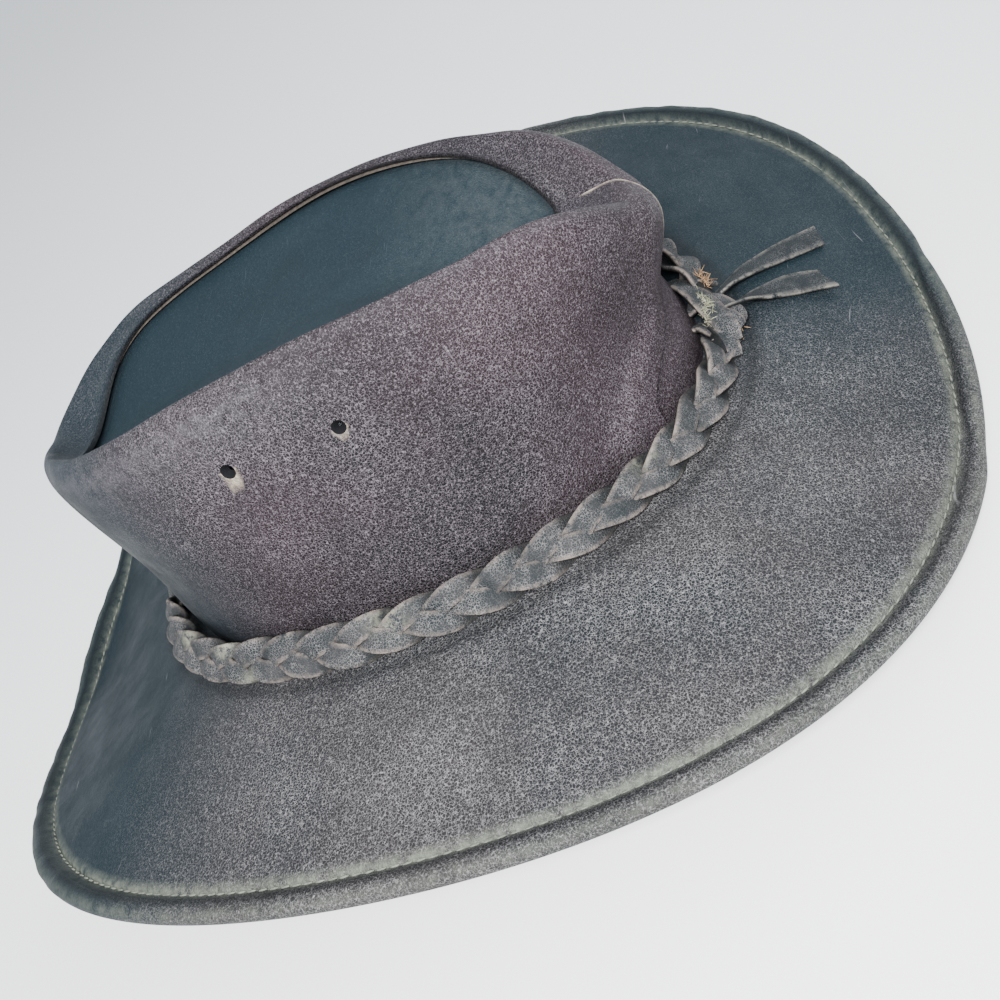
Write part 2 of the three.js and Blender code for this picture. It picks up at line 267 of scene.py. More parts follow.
def lap_lift(from_end):
    """How far the outer layer stands off where the side band laps over itself, by degrees from its end."""
    return (LEATHER + SEAM_GAP) * (1 - smoothstep((from_end - 2 * BACK_LAP_ANGLE) / BACK_LAP_FADE))


def lap_end(height):
    """Bearing of the outer layer's cut end: it slants forward near the foot and back over the top."""
    low = LAP_SLANT * (1 - smoothstep((height - 0.06) / 0.18))
    high = LAP_SWEEP * smoothstep((height - 0.33) / 0.35)
    return 90 - BACK_LAP_ANGLE - low + high


def band_frame(angle):
    """Middle of the braided band, with its width and face directions and the way it runs."""
    level = np.full_like(angle, LEATHER)
    corner = brim_point(angle, np.zeros_like(angle), level)
    outward = unit(brim_point(angle, np.full_like(angle, BAND_SPAN), level) - corner)
    upward = unit(wall_face(angle, np.full_like(angle, BAND_SPAN)) - wall_face(angle, np.zeros_like(angle)))
    across = unit(upward - outward)
    along = unit(np.cross(np.array([0.0, 0.0, 1.0]), outward))
    face = unit(np.cross(along, across))
    middle = corner + outward * BAND_OUT + upward * BAND_UP
    return middle, across, face, along


# Workshop: flat stock, forming and finishing

def plain_selection():
    if bpy.context.mode != "OBJECT":
        bpy.ops.object.mode_set(mode="OBJECT")
    bpy.ops.object.select_all(action="DESELECT")


def pick(piece):
    plain_selection()
    piece.select_set(True)
    bpy.context.view_layer.objects.active = piece


def cut_strip(name, columns, rows):
    """A flat strip of stock: a grid of columns by rows faces, one metre each way."""
    plain_selection()
    bpy.ops.mesh.primitive_grid_add(x_subdivisions=columns, y_subdivisions=rows, size=1)
    piece = bpy.context.object
    piece.name = name
    piece.data.name = name
    return piece


def stock_places(piece):
    """Each vertex's place on the flat strip, as shares along and across it."""
    co = np.empty(len(piece.data.vertices) * 3)
    piece.data.vertices.foreach_get("co", co)
    co = co.reshape(-1, 3) + 0.5
    return np.round(co[:, 0], 6), np.round(co[:, 1], 6)


def form(piece, points):
    """Lays the flat strip on its surface. points are millimetres, one for each vertex."""
    piece.data.vertices.foreach_set("co", (points * MM).ravel())
    piece.data.update()


def paint(piece, name, values):
    """A named value at each vertex, which the piece's material reads."""
    layer = piece.data.attributes.new(name, "FLOAT", "POINT")
    layer.data.foreach_set("value", np.clip(values, 0, 1).astype(np.float32))


def piece_places(piece):
    """Where each vertex is now, in millimetres."""
    co = np.empty(len(piece.data.vertices) * 3)
    piece.data.vertices.foreach_get("co", co)
    return co.reshape(-1, 3) / MM


def edit_mesh(piece, tool, **settings):
    """Uses one edit-mode tool on the whole piece."""
    pick(piece)
    bpy.ops.object.mode_set(mode="EDIT")
    bpy.ops.mesh.select_all(action="SELECT")
    tool(**settings)
    bpy.ops.object.mode_set(mode="OBJECT")


def join_ends(piece, gap=0.02):
    """Joins the strip's meeting edges, where vertices lie within the gap in millimetres."""
    edit_mesh(piece, bpy.ops.mesh.remove_doubles, threshold=gap * MM)


def face_outwards(piece):
    edit_mesh(piece, bpy.ops.mesh.normals_make_consistent, inside=False)


def work(piece, kind, **settings):
    """Adds one modifier with these settings and applies it."""
    pick(piece)
    modifier = piece.modifiers.new(kind.lower(), kind)
    for key, value in settings.items():
        setattr(modifier, key, value)
    bpy.ops.object.modifier_apply(modifier=modifier.name)


def smooth(piece, degrees=50):
    pick(piece)
    bpy.ops.object.shade_smooth_by_angle(angle=math.radians(degrees))


def hand_over(piece, slot, *nodes):
    """The finished piece rides on the hat and stands for its plain solids. slot is not used."""
    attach(piece, "root")
    if nodes:
        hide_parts(*nodes)


def ripple(angle, across, waves):
    """Soft unevenness of worn leather: each wave has turns round, ripples across, phase and height."""
    total = np.zeros_like(angle)
    for turns, ripples, phase, height in waves:
        total = total + height * np.sin(turns * angle + ripples * across * TURN + phase)
    return total


def dents(bearing, height, marks):
    """Dents and bulges pressed into the leather, from a table of places, sizes and depths."""
    total = np.zeros_like(bearing)
    for mark in marks:
        apart = (bearing - mark["bearing"] + 180) % 360 - 180
        reach = (apart / mark["wide"]) ** 2 + ((height - mark["height"]) / mark["tall"]) ** 2
        total = total + mark["depth"] * np.exp(-reach)
    return total


# Finishes

class Finish:
    """A material's node tree, with short calls that add and join nodes."""

    def __init__(self, name):
        self.material = bpy.data.materials.new(name)
        self.material.use_nodes = True
        self.nodes = self.material.node_tree.nodes
        self.links = self.material.node_tree.links
        self.shader = self.nodes["Principled BSDF"]
        self.place = self.add("ShaderNodeTexCoord").outputs["Object"]

    def add(self, kind, **settings):
        node = self.nodes.new(kind)
        for key, value in settings.items():
            setattr(node, key, value)
        return node

    def feed(self, socket, item):
        """A socket takes another node's output, or a plain value."""
        if isinstance(item, bpy.types.NodeSocket):
            self.links.new(item, socket)
        else:
            socket.default_value = item

    def put(self, node, **inputs):
        for name, item in inputs.items():
            self.feed(node.inputs[name], item)
        return node

    def noise(self, scale, detail=3.0, rough=0.55, vector=None):
        node = self.add("ShaderNodeTexNoise")
        self.put(node, Vector=vector or self.place, Scale=scale, Detail=detail, Roughness=rough)
        return node.outputs["Fac"]

    def cells(self, scale, feature="DISTANCE_TO_EDGE", vector=None):
        node = self.add("ShaderNodeTexVoronoi", feature=feature)
        self.put(node, Vector=vector or self.place, Scale=scale)
        return node.outputs["Distance"]

    def spread(self, value, low, high, start=0.0, end=1.0):
        node = self.add("ShaderNodeMapRange", clamp=True)
        for socket, item in zip(node.inputs, (value, low, high, start, end)):
            self.feed(socket, item)
        return node.outputs["Result"]

    def math(self, operation, a, b):
        node = self.add("ShaderNodeMath", operation=operation, use_clamp=False)
        for socket, item in zip(node.inputs, (a, b)):
            self.feed(socket, item)
        return node.outputs["Value"]

    def times(self, value, *others):
        for other in others:
            value = self.math("MULTIPLY", value, other)
        return value

    def mix(self, share, a, b, blend="MIX"):
        node = self.add("ShaderNodeMix", data_type="RGBA", blend_type=blend)
        self.feed(next(s for s in node.inputs if s.name == "Factor" and s.type == "VALUE"), share)
        for name, item in (("A", a), ("B", b)):
            socket = next(s for s in node.inputs if s.name == name and s.type == "RGBA")
            self.feed(socket, (*item, 1.0) if isinstance(item, tuple) else item)
        return next(s for s in node.outputs if s.type == "RGBA")

    def painted(self, name):
        return self.add("ShaderNodeAttribute", attribute_name=name).outputs["Fac"]

    def bump(self, height, strength, distance, normal=None):
        node = self.add("ShaderNodeBump")
        self.put(node, Height=height, Strength=strength, Distance=distance)
        if normal is not None:
            self.links.new(normal, node.inputs["Normal"])
        return node.outputs["Normal"]

    def shifted(self, amount, scale):
        """The place, pushed about a little by noise, so that cells aren't straight-sided."""
        noise = self.add("ShaderNodeTexNoise")
        self.put(noise, Vector=self.place, Scale=scale, Detail=2.0)
        centred = self.add("ShaderNodeVectorMath", operation="SUBTRACT")
        self.links.new(noise.outputs["Color"], centred.inputs[0])
        centred.inputs[1].default_value = (0.5, 0.5, 0.5)
        scaled = self.add("ShaderNodeVectorMath", operation="SCALE")
        self.links.new(centred.outputs[0], scaled.inputs[0])
        scaled.inputs["Scale"].default_value = amount
        added = self.add("ShaderNodeVectorMath", operation="ADD")
        self.links.new(self.place, added.inputs[0])
        self.links.new(scaled.outputs[0], added.inputs[1])
        return added.outputs[0]

    def stretched(self, vector, turn, scale):
        node = self.add("ShaderNodeMapping")
        self.put(node, Vector=vector, Rotation=turn, Scale=scale)
        return node.outputs["Vector"]


RAW = (0.36, 0.30, 0.235)


def worn_leather(name, dark, light, shaded_teal, web, worn, grain, web_share=0.9, shaded_web=0.12, rough=0.6,
                 gloss=0.2, scratches=0.35, cut=False):
    """Fine pebbled leather: a teal tint painted as shade where the sides turn away from the light, a pale
    crackle web, and a colour for rubbed wear and painted highlights.

    A piece that shows its cut edge also has that painted, as raw.
    """
    f = Finish(name)
    patches = f.spread(f.noise(15.0, 4.0, 0.62), 0.38, 0.62)
    clouds = f.spread(f.noise(60.0, 4.0, 0.62), 0.32, 0.68)
    colour = f.mix(patches, dark, light)
    colour = f.mix(f.times(clouds, 0.45), colour, tuple(0.5 * c for c in dark))
    # Painted shade: on the sides turned away from the light the colour is drawn teal.
    colour = f.mix(f.times(f.painted("shaded_teal"), 0.95), colour, shaded_teal)

    # Crackle: pale lines between fine cells, broken up and thinner in places
    loose = f.shifted(0.0009, 900.0)
    crackle = f.cells(grain, vector=loose)
    lines = f.spread(crackle, 0.0, 0.085, 1.0, 0.0)
    where = f.spread(f.noise(38.0, 3.0, 0.5), 0.32, 0.68, 0.4, 1.0)
    fine = f.spread(f.noise(700.0, 3.0, 0.7), 0.36, 0.6, 0.4, 1.0)
    # The pale crackle is drawn fainter where the teal painted shade lies.
    less = f.spread(f.painted("shaded_teal"), 0.0, 1.0, 1.0, shaded_web)
    broad = f.spread(f.noise(13.0, 2.0), 0.34, 0.66, 0.6, 1.0)
    darker = f.spread(patches, 0.0, 1.0, 1.0, 0.62)
    colour = f.mix(f.times(lines, where, fine, less, broad, darker, web_share), colour, web)
    specks = f.spread(f.noise(1900.0, 2.0, 0.7), 0.54, 0.7)
    colour = f.mix(f.times(specks, less, 0.3), colour, web)
    # The rubbed colour: real wear on the brim and straps, and on the crown a painted highlight band below the
    # crest, broken up by noise.
    rubbed = f.spread(f.noise(300.0, 4.0, 0.7), 0.34, 0.62, 0.12, 1.0)
    colour = f.mix(f.times(f.painted("worn"), rubbed), colour, worn)

    # Scratches: noise drawn out long and thin, in three directions
    bent = f.shifted(0.035, 14.0)
    marks = f.noise(1.0, 2.0, 0.5, f.stretched(bent, (0.0, 0.0, 0.5), (40.0, 700.0, 50.0)))
    crossing = f.noise(1.0, 2.0, 0.5, f.stretched(bent, (0.0, 0.0, -1.1), (45.0, 820.0, 50.0)))
    upright = f.noise(1.0, 2.0, 0.5, f.stretched(bent, (0.0, 0.0, 1.9), (50.0, 760.0, 50.0)))
    scratch = f.math("MAXIMUM", f.spread(marks, 0.74, 0.84), f.spread(crossing, 0.74, 0.84))
    scratch = f.math("MAXIMUM", scratch, f.spread(upright, 0.75, 0.85))
    colour = f.mix(f.times(scratch, scratches), colour, web)
    if cut:
        fibres = f.spread(f.noise(500.0, 3.0), 0.35, 0.6, 0.4, 1.0)
        colour = f.mix(f.times(f.painted("raw"), fibres), colour, RAW)
    # Painted shade: where the piece is painted for it (corners, creases, undersides, holes) the colour is
    # drawn dark.
    colour = f.mix(f.painted("painted_shade"), colour, tuple(0.25 * c for c in dark))
    f.links.new(colour, f.shader.inputs["Base Color"])
    dulled = f.spread(f.noise(90.0, 3.0), 0.3, 0.7, rough - 0.08, rough + 0.1)
    f.links.new(dulled, f.shader.inputs["Roughness"])
    f.shader.inputs["Specular IOR Level"].default_value = gloss

    # Relief: pebbles and crackle, on soft unevenness
    pebble = f.cells(grain * 1.7, "F1", vector=loose)
    relief = f.math("ADD", f.times(f.spread(crackle, 0.0, 0.22), 0.7), f.times(pebble, 0.5))
    # The relief is weaker where the teal painted shade lies.
    relief = f.times(relief, f.spread(f.painted("shaded_teal"), 0.0, 1.0, 1.0, 0.3))
    soft = f.bump(f.noise(45.0, 3.0, 0.6), 0.4, 0.0014)
    f.links.new(f.bump(relief, 0.7, 0.0003, soft), f.shader.inputs["Normal"])
    return f.material


def raw_edge(name, pale, brown, rough=0.85, dyed=None):
    """Cut leather: fibres, paler than the dyed face. Where it isn't painted pale, a dyed edge stays dark."""
    f = Finish(name)
    colour = f.mix(f.spread(f.noise(700.0, 4.0, 0.7), 0.35, 0.65), brown, pale)
    if dyed:
        colour = f.mix(f.spread(f.painted("pale"), 0.5, 0.7), dyed, colour)
    # Painted shade: the cut edge and inside face are drawn near black in creases and under the fold.
    colour = f.mix(f.painted("painted_shade"), colour, (0.004, 0.004, 0.005))
    f.links.new(colour, f.shader.inputs["Base Color"])
    f.shader.inputs["Roughness"].default_value = rough
    f.shader.inputs["Specular IOR Level"].default_value = 0.1
    f.links.new(f.bump(f.noise(1400.0, 3.0, 0.7), 0.6, 0.0003), f.shader.inputs["Normal"])
    return f.material


BARE = (0.25, 0.255, 0.19)


def strap_leather(name, dark, light, web, edge, web_share=0.75, frayed=0.8):
    """The plait's straps and the laces: the same leather, with pale raw flesh along the cut edges."""
    f = Finish(name)
    colour = f.mix(f.spread(f.noise(110.0, 4.0, 0.65), 0.35, 0.65), dark, light)
    crackle = f.cells(1450.0, vector=f.shifted(0.0008, 900.0))
    lines = f.spread(crackle, 0.0, 0.1, 1.0, 0.0)
    where = f.spread(f.noise(170.0, 3.0), 0.38, 0.62, 0.2, 1.0)
    colour = f.mix(f.times(lines, where, web_share), colour, web)
    bare = f.spread(f.noise(330.0, 4.0, 0.7), 0.42, 0.58)
    colour = f.mix(f.times(f.painted("raw"), bare), colour, BARE)
    ragged = f.spread(f.noise(420.0, 4.0, 0.7), 0.38, 0.54)
    broken = f.spread(f.noise(75.0, 2.0), 0.4, 0.58, 0.35, 1.0)
    colour = f.mix(f.times(f.painted("worn"), ragged, broken, frayed), colour, edge)
    # Painted shade: undersides, and stretches passing under other straps, are drawn dark.
    colour = f.mix(f.painted("painted_shade"), colour, tuple(0.25 * c for c in dark))
    f.links.new(colour, f.shader.inputs["Base Color"])
    f.shader.inputs["Roughness"].default_value = 0.72
    f.shader.inputs["Specular IOR Level"].default_value = 0.2
    relief = f.math("ADD", f.times(f.spread(crackle, 0.0, 0.2), 0.6), f.noise(1100.0, 3.0, 0.7))
    f.links.new(f.bump(relief, 0.6, 0.0003), f.shader.inputs["Normal"])
    return f.material


brim_finish = worn_leather(
    "brim leather", dark=(0.0050, 0.0072, 0.0092), light=(0.0190, 0.0165, 0.0180),
    shaded_teal=(0.0030, 0.0100, 0.0142), web=(0.42, 0.405, 0.415), worn=(0.125, 0.135, 0.108),
    grain=1180.0, web_share=0.76, gloss=0.16)
wall_finish = worn_leather(
    "crown leather", dark=(0.0040, 0.0034, 0.0046), light=(0.0185, 0.0095, 0.0130),
    shaded_teal=(0.0055, 0.0125, 0.0165), web=(0.36, 0.315, 0.35), worn=(0.10, 0.092, 0.102),
    grain=1260.0, web_share=0.64, shaded_web=0.3, rough=0.55, gloss=0.15, scratches=0.2, cut=True)
top_finish = worn_leather(
    "top leather", dark=(0.0056, 0.0130, 0.0185), light=(0.0096, 0.0185, 0.0245),
    shaded_teal=(0.0066, 0.0165, 0.0235), web=(0.070, 0.095, 0.105), worn=(0.12, 0.125, 0.12),
    grain=1300.0, web_share=0.25, rough=0.62, gloss=0.16, scratches=0.4)
flesh_finish = raw_edge("inside of the leather", (0.10, 0.085, 0.07), (0.05, 0.042, 0.036))
cut_finish = raw_edge("cut edge", (0.40, 0.34, 0.25), (0.22, 0.165, 0.12), dyed=(0.006, 0.006, 0.007))
strap_finish = strap_leather(
    "strap leather", dark=(0.0085, 0.0120, 0.0140), light=(0.026, 0.0265, 0.028), web=(0.33, 0.315, 0.315),
    edge=(0.27, 0.22, 0.19), web_share=0.5)
lace_finish = strap_leather(
    "lace leather", dark=(0.0060, 0.0085, 0.0105), light=(0.0120, 0.0150, 0.0175), web=(0.16, 0.16, 0.16),
    edge=(0.24, 0.22, 0.19), web_share=0.4, frayed=0.95)
thread_finish = raw_edge("seam thread", (0.17, 0.18, 0.15), (0.09, 0.095, 0.08))
fray_finish = raw_edge("frayed fibre", (0.36, 0.24, 0.14), (0.17, 0.085, 0.04))
moss_finish = raw_edge("pale fibre", (0.33, 0.33, 0.23), (0.14, 0.14, 0.09))


# Brim

BRIM_COLUMNS = 360
BRIM_TOP_ROWS = 40
HEM_ROWS = 12
BRIM_UNDER_ROWS = 26
BRIM_WAVES = [
    (3, 0.2, 0.4, 0.25), (5, 0.7, 1.9, 0.3), (8, 1.3, 3.1, 0.22), (13, 2.1, 0.7, 0.14), (21, 1.2, 2.2, 0.07),
]
# Unevenness of the hem: height, turns round, and how far and how often those drift.
HEM_WOBBLES = [(0.16, 61, 2, 7), (0.12, 97, 3, 5)]


def brim_profile(width):
    """Across-and-lift pairs round the brim's cross-section, for each angle's brim width."""
    start = -BRIM_TUCK / width
    stitch = 1 - HEM_WIDTH / width
    slope = GROOVE_SLOPE / width
    round_off = HEM_THICKNESS / 2
    rows = []
    for step in range(BRIM_TOP_ROWS):
        share = step / BRIM_TOP_ROWS
        rows.append((start + (stitch - slope - start) * share, LEATHER))
    for place, lift in ((-1.0, LEATHER), (-0.55, LEATHER - 0.25), (0.0, LEATHER - STITCH_GROOVE),
                        (0.55, LEATHER), (1.0, HEM_THICKNESS * 0.78), (1.6, HEM_THICKNESS * 0.93),
                        (2.4, HEM_THICKNESS)):
        rows.append((stitch + place * slope, np.full_like(width, lift)))
    for step in range(HEM_ROWS + 1):
        bend = math.pi * (0.5 - step / HEM_ROWS)
        rows.append((1 - round_off * (1 - math.cos(bend)) / width, round_off + round_off * math.sin(bend)))
    for step in range(BRIM_UNDER_ROWS + 1):
        share = step / BRIM_UNDER_ROWS
        rows.append((1 - round_off / width + (start - 1 + round_off / width) * share, 0.0))
    rows.append((start, LEATHER))
    return rows


def make_brim():
    rows = brim_profile(np.array([1.0]))
    count = len(rows) - 1
    piece = cut_strip("brim_leather", BRIM_COLUMNS, count)
    along, across = stock_places(piece)
    angle = along * TURN
    row = np.rint(across * count).astype(int)
    width = brim_width(angle)
    profile = np.array([[np.broadcast_to(item, width.shape) for item in pair] for pair in brim_profile(width)])
    reach, lift = profile[row, :, np.arange(row.size)].T
    points = brim_point(angle, reach, lift)
    normal = -normal_of(brim_underside, angle, reach)
    inner = smoothstep(reach / 0.25)
    fade = inner * smoothstep((1 - reach) / 0.12) * smoothstep(brim_underside(angle, reach)[:, 2] / 4)
    points = points + normal * (ripple(angle, reach, BRIM_WAVES) * fade)[:, None]
    hem = np.exp(-((1 - reach) * width / 4.0) ** 2)
    top = smoothstep(lift / 2 - 0.8)
    wobble = sum(height * np.sin(turns * angle + swing * np.sin(drift * angle))
                 for height, turns, swing, drift in HEM_WOBBLES)
    points = points + normal * (wobble * hem * top)[:, None]
    form(piece, points)
    inward = (1 - reach) * width
    upper = row < BRIM_TOP_ROWS + 7 + HEM_ROWS // 2
    line = np.exp(-((inward - HEM_WIDTH - 0.5) / 1.5) ** 2) * upper
    rim = np.exp(-((inward - 1.6) / 1.6) ** 2) * 0.35 * upper
    paint(piece, "worn", 0.85 * line + rim)
    # Painted shade: dark on the hem's inner slope and under the band at the crown's foot, and a painted shadow
    # beside the band's outer edge.
    shade = np.exp(-((inward - HEM_WIDTH + 2.4) / 1.1) ** 2) * 0.62 * upper
    from_foot = np.maximum(reach, 0) * width
    under_band = 0.35 * np.exp(-(from_foot / 9.0) ** 2)
    beside_band = 0.5 * np.exp(-((from_foot - 14.5) / 2.2) ** 2)
    paint(piece, "painted_shade", shade + (under_band + beside_band) * upper)
    # Painted shade: the front and the back left of the brim, turned away from the light, get the teal tint.
    x, y = points[:, 0], points[:, 1]
    front = smoothstep((-25 - y) / 75)
    back = smoothstep((48 - x) / 80) * smoothstep((y - 30) / 60)
    paint(piece, "shaded_teal", np.maximum(front, back))
    join_ends(piece)
    face_outwards(piece)
    piece.data.materials.append(brim_finish)
    smooth(piece, 60)
    hand_over(piece, "brim_leather", "brim")


STITCH_PITCH = 3.4
STITCH_LENGTH = 2.7
STITCH_SIZE = 0.62
STITCH_RAISE = 0.3
STITCH_SLANT = 0.12
GROOVE_PLACES = 4000


def make_stitches():
    """One stitch is modelled from a small sphere and copied along the groove."""
    steps = GROOVE_PLACES
    angle = np.linspace(0, TURN, steps, endpoint=False)
    across = 1 - HEM_WIDTH / brim_width(angle)
    lift = np.full_like(angle, LEATHER - STITCH_GROOVE + STITCH_RAISE)
    path = brim_point(angle, across, lift)
    gaps = np.linalg.norm(np.diff(np.vstack([path, path[:1]]), axis=0), axis=1)
    distance = np.concatenate([[0], np.cumsum(gaps)])
    count = int(distance[-1] / STITCH_PITCH)
    plain_selection()
    bpy.ops.mesh.primitive_uv_sphere_add(segments=8, ring_count=5, radius=0.5)
    stitch = bpy.context.object
    body = np.array([v.co for v in stitch.data.vertices])
    faces = [tuple(p.vertices) for p in stitch.data.polygons]
    bpy.data.objects.remove(stitch)
    points, cells = [], []
    for index in range(count):
        here = np.searchsorted(distance, index * distance[-1] / count) % steps
        ahead = unit(path[(here + 6) % steps] - path[here - 6])
        up = -normal_of(brim_underside, angle[here:here + 1], across[here:here + 1])[0]
        side = np.cross(up, ahead)
        turned = ahead * math.cos(STITCH_SLANT) + side * math.sin(STITCH_SLANT)
        placed = path[here] + np.outer(body[:, 2] * STITCH_LENGTH, turned)
        placed = placed + np.outer(body[:, 0] * STITCH_SIZE, np.cross(up, turned))
        placed = placed + np.outer(body[:, 1] * STITCH_SIZE, up)
        cells += [tuple(v + len(points) * len(body) for v in face) for face in faces]
        points.append(placed)
    mesh = bpy.data.meshes.new("hem_stitches")
    mesh.from_pydata((np.vstack(points) * MM).tolist(), [], cells)
    piece = bpy.data.objects.new("hem_stitches", mesh)
    bpy.context.scene.collection.objects.link(piece)
    piece.data.materials.append(thread_finish)
    face_outwards(piece)
    smooth(piece, 180)
    hand_over(piece, "brim_leather")


# Crown wall

WALL_COLUMNS = 372
WALL_ROWS = 64
WALL_WAVES = [(4, 0.5, 0.3, 0.35), (7, 0.9, 2.0, 0.3), (11, 1.4, 4.0, 0.2), (19, 2.0, 1.0, 0.1)]
ROLLED_EDGE = 0.9
# Degrees from the lap's cut end, so that its worn edge is drawn sharply.
LAP_TIGHT_COLUMNS = (3.0, 2.2, 1.5, 1.0, 0.6, 0.3, 0.0)
WALL_DENTS = [
    {"bearing": 62, "height": 0.13, "wide": 9, "tall": 0.1, "depth": -1.6},
    {"bearing": 30, "height": 0.2, "wide": 22, "tall": 0.1, "depth": -1.1},
    {"bearing": 45, "height": 0.33, "wide": 14, "tall": 0.05, "depth": 0.9},
    {"bearing": -30, "height": 0.18, "wide": 20, "tall": 0.09, "depth": -1.2},
    {"bearing": -62, "height": 0.3, "wide": 12, "tall": 0.1, "depth": -1.0},
    {"bearing": 150, "height": 0.2, "wide": 20, "tall": 0.1, "depth": -1.2},
    {"bearing": 215, "height": 0.24, "wide": 18, "tall": 0.12, "depth": -1.0},
    {"bearing": 270, "height": 0.2, "wide": 16, "tall": 0.12, "depth": -0.8},
]


def make_wall():
    piece = cut_strip("crown_wall_leather", WALL_COLUMNS, WALL_ROWS)
    along, height = stock_places(piece)
    end = lap_end(height)
    total = 360 + 2 * BACK_LAP_ANGLE
    column = np.rint(along * WALL_COLUMNS).astype(int)
    tight = np.array(LAP_TIGHT_COLUMNS)
    full = WALL_COLUMNS - len(tight) + 1
    near_end = total - tight[np.clip(column - full, 0, len(tight) - 1)]
    turned = np.where(column < full, column / full * (total - tight[0]), near_end)
    bearing = end - 2 * BACK_LAP_ANGLE + turned
    angle = np.radians(bearing)
    low = smoothstep(height / 0.08)
    fade = low * smoothstep((1 - height) / 0.2) * smoothstep(turned / 25) * smoothstep((total - turned) / 25)
    soft = ripple(angle, height, WALL_WAVES) * fade + dents(bearing, height, WALL_DENTS) * low
    rolled = ROLLED_EDGE * np.exp(-((height - 0.965) / 0.022) ** 2)
    form(piece, wall_point(angle, height, lap_lift(total - turned) + soft + rolled))
    y = piece_places(piece)[:, 1]
    # Painted highlight: a pale band along the crest and a broader one below it, strongest on the side towards
    # the light and fading to the back.
    crest = np.exp(-((height - 0.55) / 0.05) ** 2)
    below = np.exp(-((height - 0.42) / 0.07) ** 2)
    side = 0.5 + 0.5 * np.cos(angle)
    inside = smoothstep((height - 0.6) / 0.1)
    front = smoothstep((-20 - y) / 70)
    paint(piece, "worn", 0.2 * crest + 0.42 * below * side * smoothstep((45 - y) / 60))
    # Painted shade: dark at the foot where the wall meets the band, low on the pinched front, and along the
    # folded edge round the top.
    corner = np.exp(-(height / 0.05) ** 2)
    pinched = 0.7 * smoothstep((-50 - y) / 40) * smoothstep((0.45 - height) / 0.1)
    paint(piece, "painted_shade", pinched + 0.45 * corner + 0.93 * np.exp(-((height - 1.0) / 0.03) ** 2))
    # Painted shade: the teal tint on the wall's front and, more lightly, on the whole inward fold.
    paint(piece, "shaded_teal", inside * (0.2 + 0.75 * front) + (1 - inside) * smoothstep((-20 - y) / 48))
    crest_edge = smoothstep((height - 0.3) / 0.08) * smoothstep((0.86 - height) / 0.06)
    paint(piece, "raw", np.exp(-((total - turned) / 0.75) ** 2) * crest_edge)
    paint(piece, "pale", smoothstep((height - 0.33) / 0.08) * smoothstep((0.93 - height) / 0.05))
    piece.data.materials.append(wall_finish)
    piece.data.materials.append(flesh_finish)
    piece.data.materials.append(cut_finish)
    outer = len(piece.data.vertices)
    work(piece, "SOLIDIFY", thickness=LEATHER * MM, offset=-1, use_even_offset=False,
         material_offset=1, material_offset_rim=2)
    pale = piece.data.attributes["pale"].data
    for index in range(outer, len(pale)):
        pale[index].value = 0.0
    for vent in VENTS:
        for bearing_here in (vent["bearing"], 180 - vent["bearing"]):
            punch_vent(piece, math.radians(bearing_here), vent)
    smooth(piece, 50)
    hand_over(piece, "crown_leather", "crown_wall")


def punch_vent(piece, angle, vent):
    """A vent is cut by a tapered punch standing square to the leather, and leaves a rubbed lower lip."""
    spot, rise = np.array([angle]), np.array([vent["height"]])
    centre = wall_face(spot, rise)[0]
    normal = normal_of(wall_face, spot, rise)[0]
    plain_selection()
    bpy.ops.mesh.primitive_cone_add(
        vertices=VENT_SIDES, radius1=VENT_INSIDE / 2 * MM, radius2=VENT_MOUTH / 2 * MM, depth=VENT_DEPTH * MM)
    punch = bpy.context.object
    turn = Vector((0, 0, 1)).rotation_difference(Vector(normal)).to_matrix().to_4x4()
    punch.data.transform(Matrix.Translation(Vector(centre * MM)) @ turn)
    for finish in (wall_finish, flesh_finish, cut_finish):
        punch.data.materials.append(finish)
    for face in punch.data.polygons:
        face.material_index = 2
    work(piece, "BOOLEAN", operation="DIFFERENCE", object=punch, solver="EXACT")
    bpy.data.objects.remove(punch)
    away = piece_places(piece) - centre
    near = np.linalg.norm(away, axis=1)
    at_face = np.abs(away @ normal + 0.5) < 0.9
    low = (away[:, 2] < 0.3) & at_face & (near < VENT_DIAMETER / 2 + vent["lip"])
    for index in np.nonzero(low)[0]:
        piece.data.attributes["raw"].data[int(index)].value = vent["rub"]
    # Painted shade inside each hole.
    for index in np.nonzero((near < VENT_DIAMETER / 2 + 0.4) & ~at_face)[0]:
        piece.data.attributes["painted_shade"].data[int(index)].value = 1.0


# Sunken top

TOP_COLUMNS = 240
TOP_ROWS = 44
# Share of the panel's reach that shows. The rest is tucked under the wall's folded edge.
TOP_SHOWN = 0.92
FOLD_SAMPLE = 0.1


